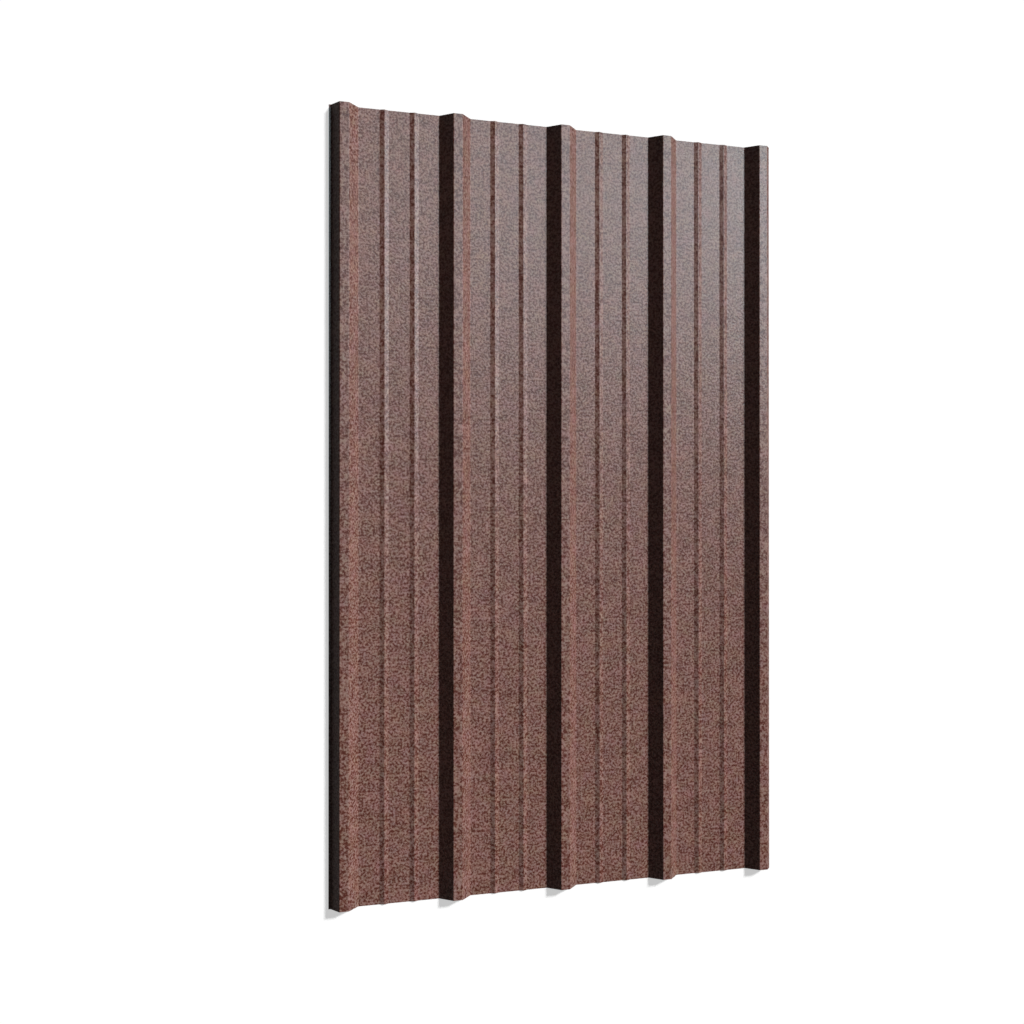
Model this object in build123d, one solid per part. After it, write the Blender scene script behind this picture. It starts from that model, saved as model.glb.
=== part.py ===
from build123d import *
import os

# Trapezoidal-rib steel sheet, lying flat with its ribs up, in millimetres.
# X runs across the ribs, Y along them and Z up. The origin is under the sheet's middle, on the floor.

# Strip that the sheet is rolled from
sheet_length = 1715.0
sheet_thickness = 0.5
bend_inner_radius = 2.0

# Main ribs, measured on the middle of the strip's thickness, as are all widths and heights below
rib_count = 5
rib_pitch = 250.0
rib_height = 27.5
rib_crest_width = 20.0
rib_flank_run = 25.5

# Low stiffening beads along each pan
beads_per_pan = 2
bead_spacing = 66.5
bead_width = 20.0
bead_height = 4.0

# Underlap edge at the first rib: a steep bearing leg that ends in a short foot
bearing_leg_run = 13.5
bearing_foot_width = 5.0

# Overlap edge at the last rib: a flank that stops part of the way down
lap_lip_drop = 12.0

# Sizes that follow from the ones above
crest_half_width = rib_crest_width / 2
rib_half_width = crest_half_width + rib_flank_run
lap_lip_run = rib_flank_run * lap_lip_drop / rib_height
bend_middle_radius = bend_inner_radius + sheet_thickness / 2


# The section's corners are (across, up), counted from the middle of the first rib.
def crest_corners(rib):
    middle = rib * rib_pitch
    return [
        (middle - crest_half_width, rib_height),
        (middle + crest_half_width, rib_height),
    ]


def bead_corners(middle):
    return [
        (middle - bead_width / 2, 0),
        (middle, bead_height),
        (middle + bead_width / 2, 0),
    ]


# The pan runs from the right foot of one rib to the left foot of the next.
def pan_corners(rib):
    start = rib * rib_pitch + rib_half_width
    end = (rib + 1) * rib_pitch - rib_half_width
    first_bead = (start + end - (beads_per_pan - 1) * bead_spacing) / 2
    corners = [(start, 0)]
    for bead in range(beads_per_pan):
        corners += bead_corners(first_bead + bead * bead_spacing)
    corners.append((end, 0))
    return corners


def underlap_corners():
    leg_foot = -crest_half_width - bearing_leg_run
    return [(leg_foot - bearing_foot_width, 0), (leg_foot, 0)]


def overlap_corners():
    crest_end = (rib_count - 1) * rib_pitch + crest_half_width
    return [(crest_end + lap_lip_run, rib_height - lap_lip_drop)]


def section_corners():
    corners = underlap_corners()
    for rib in range(rib_count - 1):
        corners += crest_corners(rib) + pan_corners(rib)
    corners += crest_corners(rib_count - 1) + overlap_corners()
    return corners


# Every corner is a roll-formed bend, so both faces of the strip stay one thickness apart.
def rolled_section():
    middle_line = FilletPolyline(*section_corners(), radius=bend_middle_radius)
    underside = middle_line.offset_2d(sheet_thickness / 2, side=Side.RIGHT, closed=False)
    return make_face(underside.offset_2d(sheet_thickness, side=Side.LEFT).edges())


profiled_sheet = extrude(Plane.XZ * rolled_section(), sheet_length / 2, both=True)
box = profiled_sheet.bounding_box()
profiled_sheet = Pos(-box.center().X, -box.center().Y, -box.min.Z) * profiled_sheet
profiled_sheet.label = "profiled_sheet"

os.makedirs("parts", exist_ok=True)
export_step(profiled_sheet, "parts/profiled_sheet.step")
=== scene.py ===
import math

import bpy
from mathutils import Matrix, Vector


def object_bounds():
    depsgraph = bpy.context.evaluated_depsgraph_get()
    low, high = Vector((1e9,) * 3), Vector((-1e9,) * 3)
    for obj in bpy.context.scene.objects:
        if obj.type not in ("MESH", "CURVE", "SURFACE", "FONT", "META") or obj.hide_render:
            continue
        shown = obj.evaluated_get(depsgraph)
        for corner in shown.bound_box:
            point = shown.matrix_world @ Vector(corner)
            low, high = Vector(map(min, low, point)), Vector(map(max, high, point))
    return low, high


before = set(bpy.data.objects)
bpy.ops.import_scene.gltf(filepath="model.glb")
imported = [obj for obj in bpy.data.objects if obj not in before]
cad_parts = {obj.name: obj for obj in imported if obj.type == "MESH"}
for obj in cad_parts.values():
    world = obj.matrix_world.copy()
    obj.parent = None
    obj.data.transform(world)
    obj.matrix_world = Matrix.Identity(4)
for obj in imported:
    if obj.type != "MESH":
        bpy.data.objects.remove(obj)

cadLow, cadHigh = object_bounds()
print("frame loaded, sheet box", [round(v, 4) for v in cadHigh - cadLow])

scene = bpy.context.scene
scene.view_settings.view_transform = "Standard"


# Small helpers for node trees

def addNode(tree, kind, at, **settings):
    node = tree.nodes.new(kind)
    node.location = at
    for name, value in settings.items():
        setattr(node, name, value)
    return node


def feed(tree, source, target):
    tree.links.new(source, target)


# puts a fixed value on the socket itself, and links anything else to it
def setOrFeed(tree, value, socket):
    if isinstance(value, (int, float, tuple)):
        socket.default_value = value
    else:
        feed(tree, value, socket)


def mathNode(tree, operation, at, *values):
    node = addNode(tree, "ShaderNodeMath", at, operation=operation)
    for value, socket in zip(values, node.inputs):
        setOrFeed(tree, value, socket)
    return node.outputs[0]


# a colour mix has its share on socket 0, its two colours on 6 and 7, and its result on 2
def mixColour(tree, at, share, first, second, blend="MIX"):
    node = addNode(tree, "ShaderNodeMix", at, data_type="RGBA", blend_type=blend)
    setOrFeed(tree, share, node.inputs[0])
    setOrFeed(tree, first, node.inputs[6])
    setOrFeed(tree, second, node.inputs[7])
    return node.outputs[2]


def noise(tree, at, place, lumpSize, detail, roughness):
    node = addNode(tree, "ShaderNodeTexNoise", at)
    node.inputs["Scale"].default_value = 1 / lumpSize
    node.inputs["Detail"].default_value = detail
    node.inputs["Roughness"].default_value = roughness
    feed(tree, place, node.inputs["Vector"])
    return node.outputs


def setTones(ramp, tones):
    while len(ramp.elements) < len(tones):
        ramp.elements.new(1)
    for element, (value, colour) in zip(ramp.elements, tones):
        element.position = value
        element.color = colour


# 1 for rays from the eye or through glass, a share of that for mirrored rays, 0 for light that bounces
def whoSees(tree, glossyShare):
    path = addNode(tree, "ShaderNodeLightPath", (-900, -300))
    direct = mathNode(tree, "MAXIMUM", (-700, -300), path.outputs["Is Camera Ray"],
                      path.outputs["Is Transmission Ray"])
    mirrored = mathNode(tree, "MULTIPLY", (-700, -450), path.outputs["Is Glossy Ray"], glossyShare)
    return mathNode(tree, "MAXIMUM", (-500, -300), direct, mirrored)


# Coated steel: brown matt coat with a fine sandy grain on top, plain back coat under, bare cut ends

coating = {
    "grainTones": (              # grain value and colour, from the pits to the brightest specks
        (0.34, (0.087, 0.020, 0.013, 1)),
        (0.42, (0.140, 0.051, 0.037, 1)),
        (0.50, (0.198, 0.099, 0.080, 1)),
        (0.58, (0.242, 0.139, 0.118, 1)),
        (0.70, (0.292, 0.184, 0.158, 1)),
    ),
    "patchTint": (0.46, 0.42, 0.50),   # how far soft patches shift red, green and blue
    "backCoat": (0.36, 0.345, 0.32, 1),
    "bareSteel": (0.42, 0.43, 0.44, 1),
    "grainSize": 0.0050,         # metres, the grain that shows from a few paces
    "sandSize": 0.0022,          # the sand inside it
    "grainDetail": 1,
    "grainBreakup": 0.5,
    "patchSize": 0.036,
    "patchDetail": 4,
    "patchBreakup": 0.75,
    "noiseMiddle": 0.5,          # the value that a noise texture swings round
    "grainHeight": 0.0004,       # relief of the grain
    "sandShare": 0.45,           # of the relief and of the colour
    "patchShare": 0.26,          # of the colour alone
    "pitRoughness": 0.38,        # the pits are a little glossier than the grains
    "grainRoughness": 0.43,
    "specularLevel": 0.75,
    "underSlope": -0.05,         # a face whose normal points further down than this is an underside
    "endSlope": 0.5,             # one that points further than this along the ribs is a cut end
}


def coatedSteel():
    material = bpy.data.materials.new("coatedSteel")
    material.use_nodes = True
    tree = material.node_tree
    tree.nodes.clear()
    coordinates = addNode(tree, "ShaderNodeTexCoord", (-1700, 0))
    place = coordinates.outputs["Object"]
    normal = addNode(tree, "ShaderNodeSeparateXYZ", (-1500, -500))
    feed(tree, coordinates.outputs["Normal"], normal.inputs[0])

    grain = noise(tree, (-1500, 300), place, coating["grainSize"],
                  coating["grainDetail"], coating["grainBreakup"])["Fac"]
    sand = noise(tree, (-1500, 50), place, coating["sandSize"],
                 coating["grainDetail"], coating["grainBreakup"])["Fac"]
    patch = noise(tree, (-1500, -200), place, coating["patchSize"],
                  coating["patchDetail"], coating["patchBreakup"])

    # the back coat is on every face that looks down, and the cut ends are bare
    under = mathNode(tree, "LESS_THAN", (-1000, -500), normal.outputs["Z"], coating["underSlope"])
    alongRibs = mathNode(tree, "ABSOLUTE", (-1000, -650), normal.outputs["Y"])
    cutEnd = mathNode(tree, "GREATER_THAN", (-800, -650), alongRibs, coating["endSlope"])
    notTop = mathNode(tree, "MAXIMUM", (-600, -500), under, cutEnd)
    topCoat = mathNode(tree, "SUBTRACT", (-400, -500), 1, notTop)

    # sand on the grain
    sandSwing = mathNode(tree, "SUBTRACT", (-1300, 50), sand, coating["noiseMiddle"])
    sandPart = mathNode(tree, "MULTIPLY", (-1200, 150), sandSwing, coating["sandShare"])
    relief = mathNode(tree, "ADD", (-1100, 300), grain, sandPart)

    # grains stand lighter than the pits between them, and the patches shift that a little
    patchSwing = mathNode(tree, "SUBTRACT", (-1300, -100), patch["Fac"], coating["noiseMiddle"])
    patchPart = mathNode(tree, "MULTIPLY", (-1200, -100), patchSwing, coating["patchShare"])
    tone = mathNode(tree, "ADD", (-1000, 0), relief, patchPart)
    ramp = addNode(tree, "ShaderNodeValToRGB", (-850, 50))
    setTones(ramp.color_ramp, coating["grainTones"])
    feed(tree, tone, ramp.inputs["Fac"])

    # the patches shift the hue too, up and down from no shift at the noise's middle
    tint = addNode(tree, "ShaderNodeVectorMath", (-850, -200), operation="MULTIPLY_ADD")
    feed(tree, patch["Color"], tint.inputs[0])
    tint.inputs[1].default_value = coating["patchTint"]
    tint.inputs[2].default_value = [1 - reach * coating["noiseMiddle"] for reach in coating["patchTint"]]
    brown = mixColour(tree, (-550, 50), 1, ramp.outputs["Color"], tint.outputs[0], "MULTIPLY")
    backed = mixColour(tree, (-400, 50), under, brown, coating["backCoat"])
    colour = mixColour(tree, (-250, 50), cutEnd, backed, coating["bareSteel"])

    bump = addNode(tree, "ShaderNodeBump", (-400, 300))
    bump.inputs["Strength"].default_value = 1
    bump.inputs["Distance"].default_value = coating["grainHeight"]
    feed(tree, mathNode(tree, "MULTIPLY", (-600, 300), relief, topCoat), bump.inputs["Height"])

    gloss = addNode(tree, "ShaderNodeMapRange", (-550, -250))
    gloss.inputs["From Min"].default_value = coating["grainTones"][0][0]
    gloss.inputs["From Max"].default_value = coating["grainTones"][-1][0]
    gloss.inputs["To Min"].default_value = coating["pitRoughness"]
    gloss.inputs["To Max"].default_value = coating["grainRoughness"]
    feed(tree, tone, gloss.inputs["Value"])

    shader = addNode(tree, "ShaderNodeBsdfPrincipled", (0, 0))
    shader.inputs["Specular IOR Level"].default_value = coating["specularLevel"]
    feed(tree, colour, shader.inputs["Base Color"])
    feed(tree, gloss.outputs["Result"], shader.inputs["Roughness"])
    feed(tree, cutEnd, shader.inputs["Metallic"])
    feed(tree, bump.outputs["Normal"], shader.inputs["Normal"])
    output = addNode(tree, "ShaderNodeOutputMaterial", (300, 0))
    feed(tree, shader.outputs["BSDF"], output.inputs["Surface"])
    return material


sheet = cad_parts["profiled_sheet"]
sheet.data.materials.clear()
sheet.data.materials.append(coatedSteel())
print("coating on", sheet.name)


# Pale floor: white to the eye, with the sheet's shadow, and a darker grey to the light that bounces off it

floorSettings = {
    "size": 60.0,
    "bounced": (0.16, 0.16, 0.16, 1),
    "seen": (0.5, 0.5, 0.5, 1),
    "glow": 0.54,                # brings the lit floor up to white
    "glowColour": (1, 1, 1, 1),
    "glossyShare": 0.035,        # how much of that the sheet mirrors
    "roughness": 0.9,
    "specularLevel": 0,
}


def whiteFloor():
    material = bpy.data.materials.new("whiteFloor")
    material.use_nodes = True
    tree = material.node_tree
    shader = tree.nodes["Principled BSDF"]
    shader.inputs["Roughness"].default_value = floorSettings["roughness"]
    shader.inputs["Specular IOR Level"].default_value = floorSettings["specularLevel"]
    shader.inputs["Emission Color"].default_value = floorSettings["glowColour"]
    seen = whoSees(tree, floorSettings["glossyShare"])
    colour = mixColour(tree, (-200, 0), seen, floorSettings["bounced"], floorSettings["seen"])
    glow = mathNode(tree, "MULTIPLY", (-200, -300), seen, floorSettings["glow"])
    feed(tree, colour, shader.inputs["Base Color"])
    feed(tree, glow, shader.inputs["Emission Strength"])
    return material


def layFloor():
    bpy.ops.object.select_all(action="DESELECT")
    bpy.ops.mesh.primitive_plane_add(size=floorSettings["size"], location=(0, 0, cadLow.z))
    floor = bpy.context.object
    floor.name = "floor"
    floor.data.materials.append(whiteFloor())


layFloor()
print("floor laid")


# Light: a key lamp from the overlap side and the far end, two soft boxes to mirror, and a dim room

keyLamp = {
    "towards": (0.613, 0.472, 0.634),
    "distance": 4,               # a sun lamp lights alike from any distance
    "strength": 4.6,
    "spread": math.radians(8),
}
sheenBox = {                     # high over the far corner, for the sheen on the pans
    "centre": (1.50, 2.00, 4.34),
    "width": 2.00,
    "height": 1.20,
    "watts": 64,
    "colour": (0.70, 0.92, 1.0),
}
beadBox = {                      # lower on the same side, for the bright line along each bead
    "centre": (2.20, 1.30, 1.86),
    "width": 1.90,
    "height": 0.46,
    "watts": 43,
    "colour": (0.70, 0.92, 1.0),
}
room = {
    "dim": (0.027, 0.027, 0.027, 1),
    "white": (1, 1, 1, 1),
    "glossyShare": 0.02,
}


# every lamp faces the middle of the sheet
def aimLamp(name, kind, at):
    bpy.ops.object.light_add(type=kind, location=at)
    lamp = bpy.context.object
    lamp.name = name
    lamp.rotation_euler = at.to_track_quat("Z", "Y").to_euler()
    return lamp


def softBox(name, settings):
    box = aimLamp(name, "AREA", Vector(settings["centre"]))
    box.data.shape = "RECTANGLE"
    box.data.size = settings["width"]
    box.data.size_y = settings["height"]
    box.data.energy = settings["watts"]
    box.data.color = settings["colour"]
    box.visible_diffuse = False      # it is mirrored, and adds no other light
    box.visible_camera = False


def lightSheet():
    key = aimLamp("keyLamp", "SUN", Vector(keyLamp["towards"]) * keyLamp["distance"])
    key.data.energy = keyLamp["strength"]
    key.data.angle = keyLamp["spread"]
    key.visible_glossy = False       # the soft boxes alone are mirrored
    softBox("sheenBox", sheenBox)
    softBox("beadBox", beadBox)


# white to the eye, and dim to the light on the sheet
def dimRoom():
    world = bpy.data.worlds.new("room")
    scene.world = world
    world.use_nodes = True
    tree = world.node_tree
    tree.nodes.clear()
    seen = whoSees(tree, room["glossyShare"])
    dim = addNode(tree, "ShaderNodeBackground", (-400, 0))
    dim.inputs["Color"].default_value = room["dim"]
    white = addNode(tree, "ShaderNodeBackground", (-400, -200))
    white.inputs["Color"].default_value = room["white"]
    mix = addNode(tree, "ShaderNodeMixShader", (-200, 0))
    feed(tree, seen, mix.inputs[0])
    feed(tree, dim.outputs[0], mix.inputs[1])
    feed(tree, white.outputs[0], mix.inputs[2])
    output = addNode(tree, "ShaderNodeOutputWorld", (0, 0))
    feed(tree, mix.outputs[0], output.inputs["Surface"])


lightSheet()
dimRoom()
print("lights set")


# Camera, looking down on the sheet from its underlap side

view = {
    "from": Vector((-0.9704, -0.0206, 2.6205)),
    "aim": Vector((-0.1139, -0.0115, 0.0)),
    "up": Vector((0, 1, 0)),     # the far end of the sheet is at the top of the picture
    "fieldOfView": math.radians(45.06),
}


def placeCamera():
    bpy.ops.object.camera_add(location=view["from"])
    camera = bpy.context.object
    camera.name = "camera"
    ahead = (view["aim"] - view["from"]).normalized()
    right = ahead.cross(view["up"]).normalized()
    camera.rotation_euler = Matrix((right, right.cross(ahead), -ahead)).transposed().to_euler()
    camera.data.lens_unit = "FOV"
    camera.data.angle = view["fieldOfView"]
    scene.camera = camera


placeCamera()
print("camera set")
